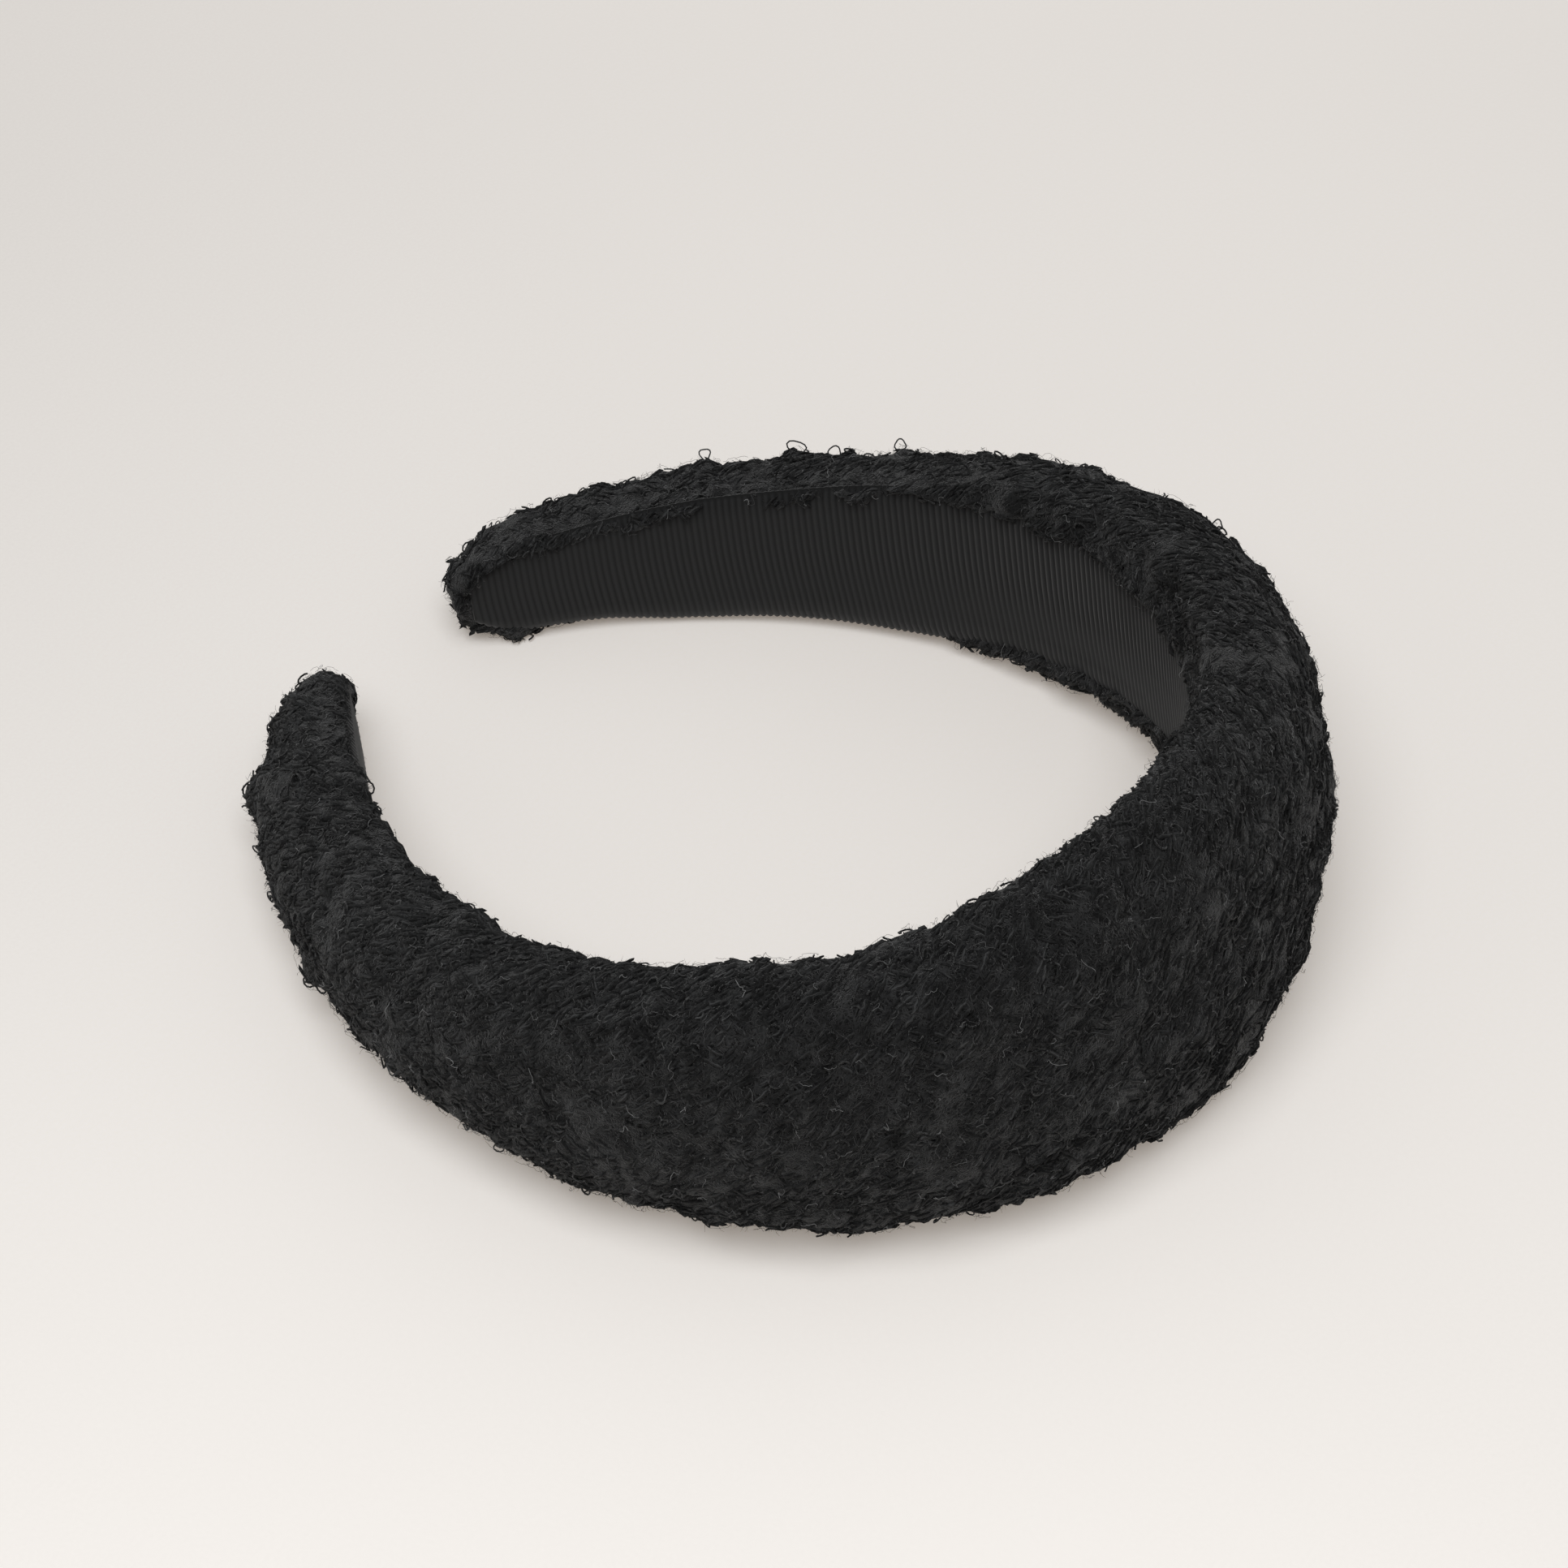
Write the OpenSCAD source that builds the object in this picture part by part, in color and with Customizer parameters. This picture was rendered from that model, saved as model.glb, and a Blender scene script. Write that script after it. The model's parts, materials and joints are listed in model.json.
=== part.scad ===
// A wide padded headband lying on its side, as it rests on a table.
// A padded hoop covered in looped wool cloth is widest at its crown and narrows to two blunt tips.
// A ribbed ribbon lines its inner face and hides the turned-in edges of the cloth.
// The hoop is drawn in a plane, with its crown at the start and its tips towards +Y,
// and is then tipped until its lower edge touches the table at the crown and near both tips.

/* [Hoop] */
// Length of the inner face from the middle of the crown to one tip
half_length = 190; // [160:1:215]
// Angle that each half of the hoop turns through from the crown to its tip, in degrees
half_turn = 145; // [125:1:150]

/* [Padded cover] */
// Width of the band at the crown, from edge to edge
band_w = 58; // [44:1:66]
// Thickness of the padding at the crown, with its cloth
pad_t = 18; // [12:0.5:22]
// Share of the thickness at which a section is widest
widest_at = 0.34; // [0.2:0.02:0.5]
// Roundness of the padding's outer face, where 2 is an ellipse and more is squarer
dome_power = 2.1; // [1.8:0.1:3]
// Share of the width that is flat on the inner face, between its rounded edges
inner_flat = 0.94; // [0.8:0.02:0.96]
// Height of the soft lumps in the padding
lump_h = 0.5; // [0:0.1:1.5]
// Distance between lumps along the band
lump_pitch = 27; // [18:1:60]
// Length over which a tip rounds off
tip_round = 12; // [8:0.5:18]

/* [Ribbon lining] */
// Width of the ribbon where the band leaves it room
ribbon_w = 28; // [18:1:36]
// Thickness of the ribbon
ribbon_t = 1; // [1:0.1:2]
// Clearance between the ribbon and the cloth that it lies on
ribbon_gap = 0.3; // [0.2:0.1:0.6]
// Least width of flat cloth left bare beside the ribbon
bare_edge = 0.2; // [0.2:0.1:3]
// Distance from the end of the ribbon to the end of the padding
end_gap = 3; // [2:0.5:12]

/* [Hidden] */

// Each row is a station along one half of the hoop.
// PLACE is its share of half_length, BEND its curvature against the crown's,
// WIDE its share of band_w, THICK its share of pad_t and LINING its share of ribbon_w.
PLACE = 0;
BEND = 1;
WIDE = 2;
THICK = 3;
LINING = 4;
STATIONS = [
    [0.00, 1.00, 1.00, 0.98, 0.87],
    [0.22, 1.06, 0.83, 1.00, 0.87],
    [0.45, 1.00, 0.67, 0.96, 0.95],
    [0.68, 0.60, 0.45, 0.95, 1.00],
    [0.86, 0.57, 0.37, 0.85, 1.00],
    [1.00, 0.46, 0.31, 0.60, 1.00]
];
LAST = len(STATIONS) - 1;

// Slope of a column at station k, level at the crown because the two halves mirror each other
function slope(k, column) =
    k == 0 ? 0 :
    let (before = STATIONS[k - 1], after = STATIONS[min(k + 1, LAST)])
    (after[column] - before[column]) / (after[PLACE] - before[PLACE]);

// Smooth value of a column at a place from 0, the crown, to 1, the tip
function along(place, column) =
    let (
        k = max([for (i = [0:LAST - 1]) if (STATIONS[i][PLACE] <= place) i]),
        from = STATIONS[k],
        to = STATIONS[k + 1],
        span = to[PLACE] - from[PLACE],
        t = (place - from[PLACE]) / span,
        rise = to[column] - from[column]
    )
    from[column] + rise * t * t * (3 - 2 * t)
        + span * t * (1 - t) * (slope(k, column) * (1 - t) - slope(k + 1, column) * t);

// The rings of one half, from the crown to the tip: evenly spaced along the band,
// and then at even angles round the blunt end
BAND_RINGS = 32;
TIP_RINGS = 6;
TIP_STEP = 13;
tip_share = tip_round / half_length;
PLACES = concat(
    [for (i = [0:BAND_RINGS - 1]) i / BAND_RINGS * (1 - tip_share)],
    [for (i = [0:TIP_RINGS]) 1 - tip_share * (1 - sin(i * TIP_STEP))]
);
RINGS = len(PLACES) - 1;

// Share of its full size that a section keeps as it rounds off towards the end
function rounding(place) =
    let (past = max(0, 1 - (1 - place) / tip_share)) sqrt(1 - past * past);

// Heading of the hoop at each ring, summed from the bends and then scaled to half_turn
bend_sums = [
    for (
        i = 0, sum = 0;
        i <= RINGS;
        i = i + 1,
        sum = sum + (i > RINGS ? 0
            : (along(PLACES[i], BEND) + along(PLACES[i - 1], BEND)) / 2 * (PLACES[i] - PLACES[i - 1]))
    ) sum
];
HEADINGS = [for (sum = bend_sums) sum * half_turn / bend_sums[RINGS]];

// Running sum of the steps that the inner face makes sideways and towards the tips
function steps(turned) = [
    for (
        i = 0, sum = 0;
        i <= RINGS;
        i = i + 1,
        sum = sum + (i > RINGS ? 0
            : (turned[i] + turned[i - 1]) / 2 * (PLACES[i] - PLACES[i - 1]) * half_length)
    ) sum
];
ACROSS = steps([for (heading = HEADINGS) cos(heading)]);
FORWARD = steps([for (heading = HEADINGS) sin(heading)]);

// Half the width of the band, and its thickness, at a place
function half_wide(place) = band_w / 2 * along(place, WIDE) * rounding(place);
TIP_FLAT = 0.3;
function thick(place) = pad_t * along(place, THICK) * (TIP_FLAT + (1 - TIP_FLAT) * rounding(place));

// Half the width of the ribbon: its full width, or what the flat inner face leaves it,
// blended so that its edge runs on smoothly into the tapered stretch
BLEND = 1.2;
ribbon_end = 1 - end_gap / half_length;
function ribbon_rounding(place) =
    let (past = min(1, max(0, 1 - (ribbon_end - place) / tip_share))) sqrt(1 - past * past);
function ribbon_half(place) =
    let (
        full = ribbon_w / 2 * along(place, LINING),
        room = band_w / 2 * along(place, WIDE) * inner_flat - bare_edge,
        close = max(0, 1 - abs(full - room) / BLEND)
    )
    (min(full, room) - close * close * BLEND / 4) * ribbon_rounding(place);

// Soft unevenness of the padding at a signed place and an angle round its outer face,
// from two crossing waves that start at different points
WAVE_START = 25;
ROUND_START = 40;
SLOW_WAVE = 0.61;
function lump(side, place, angle) =
    let (wave = 360 * side * place * half_length / lump_pitch)
    lump_h / 2 * rounding(place)
        * (sin(wave + WAVE_START) * sin(2 * angle + ROUND_START) + sin(wave * SLOW_WAVE + 3 * angle));

// One section of the padded cover as [out, wide] points, with its inner face at out = 0.
// It runs over the outer face, round one edge and back along the inner face to the other.
DOME_STEPS = 18;
EDGE_STEPS = 3;
FACE_STEPS = 4;
function cover_section(side, place) =
    let (
        half = half_wide(place),
        deep = thick(place),
        waist = widest_at * deep,
        flat = half * inner_flat,
        dome = [
            for (i = [0:DOME_STEPS])
            let (
                angle = 180 * i / DOME_STEPS,
                bump = lump(side, place, angle),
                level = sign(cos(angle)) * pow(abs(cos(angle)), 2 / dome_power),
                rise = pow(sin(angle), 2 / dome_power)
            )
            [waist + (deep - waist) * rise + bump * sin(angle), half * level + bump * cos(angle)]
        ],
        edge = [
            for (i = [1:EDGE_STEPS])
            let (angle = 90 * i / EDGE_STEPS)
            [waist * (1 - sin(angle)), flat + (half - flat) * cos(angle)]
        ]
    )
    concat(
        dome,
        [for (point = edge) [point[0], -point[1]]],
        [for (i = [1:FACE_STEPS - 1]) [0, flat * (2 * i / FACE_STEPS - 1)]],
        [for (i = [EDGE_STEPS - 1:-1:0]) edge[i]]
    );

// One section of the ribbon, held off the inner face by the clearance
function ribbon_section(place) =
    let (half = ribbon_half(place), top = -ribbon_gap, face = -ribbon_gap - ribbon_t)
    [[top, half], [top, -half], [face, -half], [face, half]];

// Puts an [out, wide] point of ring i on its side of the hoop
function placed(side, i, point) = [
    side * (ACROSS[i] + sin(HEADINGS[i]) * point[0]),
    FORWARD[i] - cos(HEADINGS[i]) * point[0],
    point[1]
];

// The rings from one tip, over the crown, to the other, as [side, ring] pairs
COVER_RINGS = concat([for (i = [RINGS:-1:1]) [-1, i]], [for (i = [0:RINGS]) [1, i]]);
// The ribbon stops at the last ring where its rounded end still has this share of its width
RIBBON_LEAST = 0.2;
RIBBON_RINGS = [for (ring = COVER_RINGS) if (ribbon_rounding(PLACES[ring[1]]) > RIBBON_LEAST) ring];

cover_points = [
    for (ring = COVER_RINGS)
    [for (point = cover_section(ring[0], PLACES[ring[1]])) placed(ring[0], ring[1], point)]
];
ribbon_points = [
    for (ring = RIBBON_RINGS)
    [for (point = ribbon_section(PLACES[ring[1]])) placed(ring[0], ring[1], point)]
];

// How far the hoop tips forward on the table. The crown's lowest line and the lowest line
// of the legs both lie on the table, so the flattest line from the crown under the band sets it.
function low_forward(i) = FORWARD[i] - cos(HEADINGS[i]) * widest_at * thick(PLACES[i]);
LEG_START = 8;
tilt = min([
    for (i = [LEG_START:RINGS])
    atan2(half_wide(0) - half_wide(PLACES[i]), low_forward(i) - low_forward(0))
]);

// The tipped cover's bounds, which put the middle of its base at the origin
function tipped(point) = [
    point[0],
    point[1] * cos(tilt) + point[2] * sin(tilt),
    point[2] * cos(tilt) - point[1] * sin(tilt)
];
tipped_points = [for (ring = cover_points) for (point = ring) tipped(point)];
function least(axis) = min([for (point = tipped_points) point[axis]]);
function most(axis) = max([for (point = tipped_points) point[axis]]);
rest_shift = [-(least(0) + most(0)) / 2, -(least(1) + most(1)) / 2, -least(2)];

// Skin over a row of rings with the same number of points, closed by a flat face at each end
module skin(rings) {
    count = len(rings[0]);
    ends = len(rings) - 1;
    polyhedron(
        points = [for (ring = rings) each ring],
        faces = concat(
            [[for (j = [0:count - 1]) j]],
            [[for (j = [count - 1:-1:0]) ends * count + j]],
            [
                for (i = [0:ends - 1], j = [0:count - 1])
                let (next = (j + 1) % count)
                [i * count + j, (i + 1) * count + j, (i + 1) * count + next]
            ],
            [
                for (i = [0:ends - 1], j = [0:count - 1])
                let (next = (j + 1) % count)
                [i * count + j, (i + 1) * count + next, i * count + next]
            ]
        ),
        convexity = 6
    );
}

module at_rest() {
    translate(rest_shift) rotate([-tilt, 0, 0]) children();
}

module padded_cover() {
    color([0.07, 0.07, 0.075]) at_rest() skin(cover_points);
}

module ribbon_lining() {
    color([0.12, 0.12, 0.125]) at_rest() skin(ribbon_points);
}

padded_cover();
ribbon_lining();
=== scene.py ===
# A wide padded headband lies on its side on a pale table. Its padding is covered in near-black looped
# wool cloth, and a ribbed ribbon lines its inner face. The sections follow it as it is put together.
import json
import math
import bpy
import numpy as np
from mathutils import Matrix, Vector, noise
from mathutils.bvhtree import BVHTree


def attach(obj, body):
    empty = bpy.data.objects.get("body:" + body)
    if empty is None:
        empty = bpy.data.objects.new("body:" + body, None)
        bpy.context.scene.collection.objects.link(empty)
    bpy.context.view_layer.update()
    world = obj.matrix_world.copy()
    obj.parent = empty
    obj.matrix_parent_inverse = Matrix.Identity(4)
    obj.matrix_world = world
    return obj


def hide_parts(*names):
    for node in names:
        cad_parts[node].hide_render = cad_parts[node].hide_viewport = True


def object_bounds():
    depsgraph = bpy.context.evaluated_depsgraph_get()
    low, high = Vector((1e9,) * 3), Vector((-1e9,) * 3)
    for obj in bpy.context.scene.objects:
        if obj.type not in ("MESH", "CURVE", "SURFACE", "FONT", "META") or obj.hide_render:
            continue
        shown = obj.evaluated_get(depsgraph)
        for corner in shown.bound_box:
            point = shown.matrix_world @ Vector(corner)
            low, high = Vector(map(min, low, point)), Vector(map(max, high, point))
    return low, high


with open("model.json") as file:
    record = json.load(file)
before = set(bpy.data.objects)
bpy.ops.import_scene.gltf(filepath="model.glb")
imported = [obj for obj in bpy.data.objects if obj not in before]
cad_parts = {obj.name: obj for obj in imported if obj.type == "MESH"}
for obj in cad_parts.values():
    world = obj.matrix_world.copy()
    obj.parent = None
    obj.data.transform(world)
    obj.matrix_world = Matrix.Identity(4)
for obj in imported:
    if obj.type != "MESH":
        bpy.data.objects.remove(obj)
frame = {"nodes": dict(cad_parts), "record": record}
cad_low, cad_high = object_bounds()
scene = bpy.context.scene

# The camera stands where the photograph was taken from, a long lens looking down at 44 degrees. A
# place in the photograph, in pixels from its top left corner, is a ray from the camera.
PHOTO_SIZE = 1932
SENSOR_WIDTH = 36
LENS = 92.45
eye = Vector((-0.3655, -0.2470, 0.4450))
look_at = Vector((0.01708, 0.01310, 0))
view = bpy.data.cameras.new("camera")
view.sensor_width = SENSOR_WIDTH
view.lens = LENS
camera = bpy.data.objects.new("camera", view)
scene.collection.objects.link(camera)
camera.location = eye
camera.rotation_euler = (look_at - eye).to_track_quat("-Z", "Y").to_euler()
scene.camera = camera
scene.view_settings.view_transform = "Standard"


def ray_through(across, down):
    """Direction from the camera through a pixel of the photograph."""
    pixels_a_metre = LENS / SENSOR_WIDTH * PHOTO_SIZE
    way = Vector((across - PHOTO_SIZE / 2, PHOTO_SIZE / 2 - down, -pixels_a_metre))
    return (camera.rotation_euler.to_matrix() @ way).normalized()


# The padding is a strip of foam, wide and thick at the crown and slim at the tips, glued round a
# hoop. The cloth pulls it in a little before it swells back, all but its inner face, which the
# hoop holds, so it starts smaller than its solid and is then blown up as simulated cloth.
seat = frame["record"]["mounts"][0]
crown = Vector(seat["pos_m"])
forward = Vector(seat["axis"]).normalized()
aside = Vector((1, 0, 0))
upward = aside.cross(forward)
cover_solid = frame["nodes"]["padded_cover"]
HUB_SHARE = 0.4
SWEEP_RAYS = 1441
SWEEP_END = math.radians(178)
LINE_STEP = 0.0005
LINE_EVENED = 8
SAME_POINT = 1e-6
FOAM_CELL = 0.0025
FOAM_PULL = 0.0003
FOAM_MOST = 0.0013
GLUED_DEPTH = 0.0022
PULL_SPACING = 0.011
PULL_SHRINK = (-0.03, 0.006)
FOAM_WEIGHT = 0.0005
FOAM_PRESSURE = 20
FOAM_QUALITY = 6
FOAM_FRAMES = 20


def skin_of(thing):
    """The surface of an object, ready for rays."""
    return BVHTree.FromObject(thing, bpy.context.evaluated_depsgraph_get())


def link(name, mesh):
    """An object of its own for a mesh, at the origin."""
    thing = bpy.data.objects.new(name, mesh)
    scene.collection.objects.link(thing)
    return thing


solid_skin = skin_of(cover_solid)
hub = crown + forward * (cad_high.y - cad_low.y) * HUB_SHARE
inner_hits = []
for turn in np.linspace(-SWEEP_END, SWEEP_END, SWEEP_RAYS):
    hit = solid_skin.ray_cast(hub, aside * math.sin(turn) - forward * math.cos(turn))[0]
    if hit:
        inner_hits.append(hit)
inner_hits = np.array(inner_hits)


def lengths(points):
    """Distance along a row of points, from its first one."""
    return np.concatenate([[0], np.cumsum(np.linalg.norm(np.diff(points, axis=0), axis=1))])


def at(places, known, values):
    """Values of a row of points at other places along it."""
    return np.stack([np.interp(places, known, values[:, axis]) for axis in range(3)], 1)


def smooth_row(values, reach):
    """Averages a row over a number of neighbours each way, with its ends carried straight on."""
    before = 2 * values[:1] - values[reach:0:-1]
    after = 2 * values[-1:] - values[-2:-reach - 2:-1]
    long = np.concatenate([before, values, after])
    return sum(long[k:k + len(values)] for k in range(2 * reach + 1)) / (2 * reach + 1)


hit_places = lengths(inner_hits)
line_count = int(hit_places[-1] / LINE_STEP) + 1
line = at(np.linspace(0, hit_places[-1], line_count), hit_places, inner_hits)
line = smooth_row(smooth_row(line, LINE_EVENED), LINE_EVENED)
line_places = lengths(line)
band_length = line_places[-1]


def nearest_on_line(points):
    """Number of the inner line's own point that is nearest to each of some points."""
    return np.array([np.argmin(np.sum((line - point) ** 2, axis=1)) for point in points])


def points_of(mesh):
    """The places of a mesh's points."""
    points = np.empty(len(mesh.vertices) * 3)
    mesh.vertices.foreach_get("co", points)
    return points.reshape(-1, 3)


foam = cover_solid.copy()
foam.data = cover_solid.data.copy()
scene.collection.objects.link(foam)
for key in [k for k in foam.keys() if k.startswith("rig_")]:
    del foam[key]
foam.parent = None
bpy.context.view_layer.objects.active = foam
join = foam.modifiers.new("join", "WELD")
join.merge_threshold = SAME_POINT
cells = foam.modifiers.new("cells", "REMESH")
cells.mode = "VOXEL"
cells.voxel_size = FOAM_CELL
foam_mesh = bpy.data.meshes.new_from_object(foam.evaluated_get(bpy.context.evaluated_depsgraph_get()))
foam.modifiers.clear()
foam.data = foam_mesh
foam_points = points_of(foam_mesh)
foam_normals = np.array([v.normal for v in foam_mesh.vertices])
from_line = foam_points - line[nearest_on_line(foam_points)]
beside = from_line @ np.array(upward)
outward = np.linalg.norm(from_line - beside[:, None] * np.array(upward), axis=1)
held = outward < GLUED_DEPTH
start = foam_points - foam_normals * np.where(held, 0, FOAM_PULL)[:, None]
foam_mesh.vertices.foreach_set("co", start.ravel())
glue = foam.vertex_groups.new(name="glue")
glue.add([int(k) for k in np.flatnonzero(held)], 1.0, "REPLACE")
pull = foam.vertex_groups.new(name="pull")
for k, point in enumerate(foam_points):
    pull.add([k], 0.5 + 0.5 * noise.noise(Vector(point) / PULL_SPACING), "REPLACE")
cloth = foam.modifiers.new("cloth", "CLOTH")
cloth.settings.quality = FOAM_QUALITY
cloth.settings.mass = FOAM_WEIGHT
cloth.settings.use_pressure = True
cloth.settings.uniform_pressure_force = FOAM_PRESSURE
cloth.settings.vertex_group_mass = "glue"
cloth.settings.vertex_group_shrink = "pull"
cloth.settings.shrink_min, cloth.settings.shrink_max = PULL_SHRINK
cloth.settings.effector_weights.gravity = 0
cloth.collision_settings.use_collision = False
for moment in range(1, FOAM_FRAMES + 1):
    scene.frame_set(moment)
swollen = foam.evaluated_get(bpy.context.evaluated_depsgraph_get()).to_mesh()
moved = points_of(swollen) - start
far = np.linalg.norm(moved, axis=1, keepdims=True)
moved *= np.minimum(1, FOAM_MOST / np.maximum(far, 1e-9))
foam.modifiers.clear()
foam.data.vertices.foreach_set("co", (start + moved).ravel())
scene.frame_set(1)
rounded = foam.modifiers.new("rounded", "SUBSURF")
rounded.levels = 1
rounded.render_levels = 1
foam_skin = skin_of(foam)


# The looped wool cloth is wrapped round the padding from the inner face and glued there under the
# ribbon. Its body is a thick springy weave with soft lumps where the looped yarn bunches up.
# Rings of points are read off the swollen padding, and turned into one closed skin.
RINGS_ALONG = 430
RINGS_AT_TIP = 22
ROUND = 112
RAYS_ROUND = 96
TIP_STRETCH = 0.012
FIRST_RING = 0.0022
spread = 1 - np.cos(np.linspace(0, math.pi / 2, RINGS_AT_TIP, endpoint=False))
near_tip = FIRST_RING + (TIP_STRETCH - FIRST_RING) * spread
ring_places = np.concatenate([
    near_tip,
    np.linspace(TIP_STRETCH, band_length - TIP_STRETCH, RINGS_ALONG),
    band_length - near_tip[::-1],
])

# The near tip curls outward a little
TIP_CURL = 0.0015
CURL_REACH = 0.018


def curled(places):
    """How far the near tip stands out from the hoop's own line at some places."""
    return TIP_CURL * np.clip(1 - places / CURL_REACH, 0, 1)[:, None] ** 2


def frames_at(places):
    """The inner line's points at some places, with their headings and outward directions."""
    points = at(places, line_places, line)
    headings = at(places, line_places, np.gradient(line, line_places, axis=0))
    headings /= np.linalg.norm(headings, axis=1, keepdims=True)
    outwards = np.cross(headings, np.array(upward))
    return points + curled(places) * outwards, headings, outwards


ring_line, headings, outwards = frames_at(ring_places)
curl_step = curled(ring_places) * outwards
ray_angles = math.pi + np.linspace(0, 2 * math.pi, RAYS_ROUND, endpoint=False)
STEP_IN = 0.0015
MIDDLE_SHARE = 0.42
sections = np.empty((len(ring_places), ROUND, 3))
for i, (foot, out) in enumerate(zip(ring_line - curl_step, outwards)):
    out_way = Vector(out)
    top = foam_skin.ray_cast(Vector(foot) + out_way * STEP_IN, out_way)[0]
    middle = Vector(foot).lerp(top, MIDDLE_SHARE)
    outline = [
        foam_skin.ray_cast(middle, out_way * math.cos(angle) + upward * math.sin(angle))[0]
        for angle in ray_angles
    ]
    outline = np.array(outline + outline[:1])
    walked = lengths(outline)
    sections[i] = at(np.linspace(0, walked[-1], ROUND, endpoint=False), walked, outline) + curl_step[i]

# A tip is blunter than the solid's, because the cloth is folded in over it
BLUNTNESS = (3.4, 2.5)
SECTIONS_EVENED = 3
from_end = np.minimum(ring_places, band_length - ring_places)
past = np.clip(1 - from_end / TIP_STRETCH, 0, 1)
blunt = np.where(ring_places < band_length / 2, *BLUNTNESS)
fuller = (1 - past ** blunt) ** (1 / blunt) / np.sqrt(1 - past ** 2)
middles = sections.mean(1, keepdims=True)
sections = middles + (sections - middles) * fuller[:, None, None]
evened = smooth_row(smooth_row(sections, SECTIONS_EVENED), SECTIONS_EVENED)
evened = (np.roll(evened, 1, 1) + 2 * evened + np.roll(evened, -1, 1)) / 4
sections += (evened - sections) * np.clip(from_end / TIP_STRETCH, 0, 1)[:, None, None]

END_RINGS = 7
END_LENGTHS = (0.0048, 0.0030)
end_bends = np.linspace(0, math.pi / 2, END_RINGS + 2)[1:-1]


def rounded_end(section, way, length):
    """Rings that close one end of the cover, each smaller than the last."""
    middle = section.mean(0)
    return [
        middle + (section - middle) * math.cos(bend) + np.array(way) * length * math.sin(bend)
        for bend in end_bends
    ]


skin = np.concatenate([
    rounded_end(sections[0], -headings[0], END_LENGTHS[0])[::-1],
    sections,
    rounded_end(sections[-1], headings[-1], END_LENGTHS[1]),
])
rows = len(skin)
row_ring = np.clip(np.arange(rows) - END_RINGS, 0, len(ring_places) - 1)
ahead = np.gradient(skin, axis=0)
around = (np.roll(skin, -1, 1) - np.roll(skin, 1, 1)) / 2
ways = np.cross(ahead, around)
ways /= np.maximum(np.linalg.norm(ways, axis=2, keepdims=True), 1e-12)

# The ribbon's edges, read off its solid, tell where the cloth is bare
ribbon_solid = frame["nodes"]["ribbon_lining"]
ribbon_corners = points_of(ribbon_solid.data)
closest = nearest_on_line(ribbon_corners)
corner_height = (ribbon_corners - line[closest]) @ np.array(upward)
top_edge = corner_height > 0
order = np.argsort(line_places[closest[top_edge]])
edge_places = line_places[closest[top_edge]][order]
edge_heights = corner_height[top_edge][order]

# On the legs the ribbon is a little wider than its solid, and covers the whole inner face
LEG_WIDER = 0.0011
LEG_FROM = 0.28
LEG_TO = 0.9
LEG_BLEND = 0.12

# It runs a little further into the tips
END_REACH = 0.0024
REACH_FROM = 0.02
solid_gap = edge_places[0]
ribbon_gap = solid_gap - END_REACH

# It leaves more cloth bare above it on the near leg, and below it at the far tip
NEAR_TOP_BARE = 0.0019
NEAR_TOP_PLACES = (0.026, 0.036, 0.105, 0.135)
FAR_LOW_BARE = 0.0009
FAR_LOW_REACH = 0.034
FAR_LOW_BLEND = 0.01
MOST_BARED = 0.6


def ribbon_half(places, upper):
    """The ribbon's reach from its middle to its upper or lower edge, and nothing beyond its ends."""
    to_tip = np.minimum(places, band_length - places)
    drawn = (REACH_FROM - to_tip) / (REACH_FROM - ribbon_gap) * (REACH_FROM - solid_gap)
    moved = np.where(to_tip < REACH_FROM, REACH_FROM - drawn - to_tip, 0)
    on_solid = places + np.where(places < band_length / 2, moved, -moved)
    half = np.interp(on_solid, edge_places, edge_heights, left=0, right=0)
    share = np.abs(2 * places / band_length - 1)
    on_leg = np.clip((share - LEG_FROM) / LEG_BLEND, 0, 1) * np.clip((LEG_TO - share) / LEG_BLEND, 0, 1)
    near_top = NEAR_TOP_BARE * np.interp(places, NEAR_TOP_PLACES, (0, 1, 1, 0))
    into_tip = np.clip(places - band_length + FAR_LOW_REACH, 0, FAR_LOW_BLEND)
    far_low = FAR_LOW_BARE * into_tip / FAR_LOW_BLEND
    bared = np.where(upper, near_top, far_low)
    return half + np.where(half > 0, np.maximum(LEG_WIDER * on_leg - bared, -MOST_BARED * half), 0)


end_steps = np.sin(end_bends)
row_places = np.concatenate([
    ring_places[0] - END_LENGTHS[0] * end_steps[::-1],
    ring_places,
    ring_places[-1] + END_LENGTHS[1] * end_steps,
])
from_hoop = skin - ring_line[row_ring][:, None]
height = from_hoop @ np.array(upward)
depth = np.sum(from_hoop * outwards[row_ring][:, None], axis=2)
INNER_DEPTH = 0.0035
BARE_BLEND = 0.0012
to_ribbon = np.abs(height) - ribbon_half(row_places[:, None], height > 0)

# The cloth swells up over the ribbon's edges, but not under it on the legs, nor on the near leg's
# top, where it is drawn tight
LIP_HEIGHT = 0.0019
LIP_ABOVE = 0.0021
LIP_MOST = 0.0040
LIP_WIDTH = 0.0035
LIP_OVER = 0.0006
LIP_WAVER = 0.0036
LIP_SPACING = 0.006
TIP_LIP = 0.62
NEAR_LEG_LIP = 0.6
TIGHT_TIP = (0.028, 0.042)
TIGHT_LEG = (0.07, 0.12)
LOW_LIP_SHARE = (0.62, 0.5)
END_LIP_REACH = 0.004


def ramp(values, start, stop):
    """A share that goes from 0 at one value to 1 at another."""
    return np.clip((values - start) / (stop - start), 0, 1)


def noise_over(points, spacing, start=Vector()):
    """Soft noise at each point of the skin."""
    return np.array([[noise.noise(Vector(point) / spacing + start) for point in row] for row in points])


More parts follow.
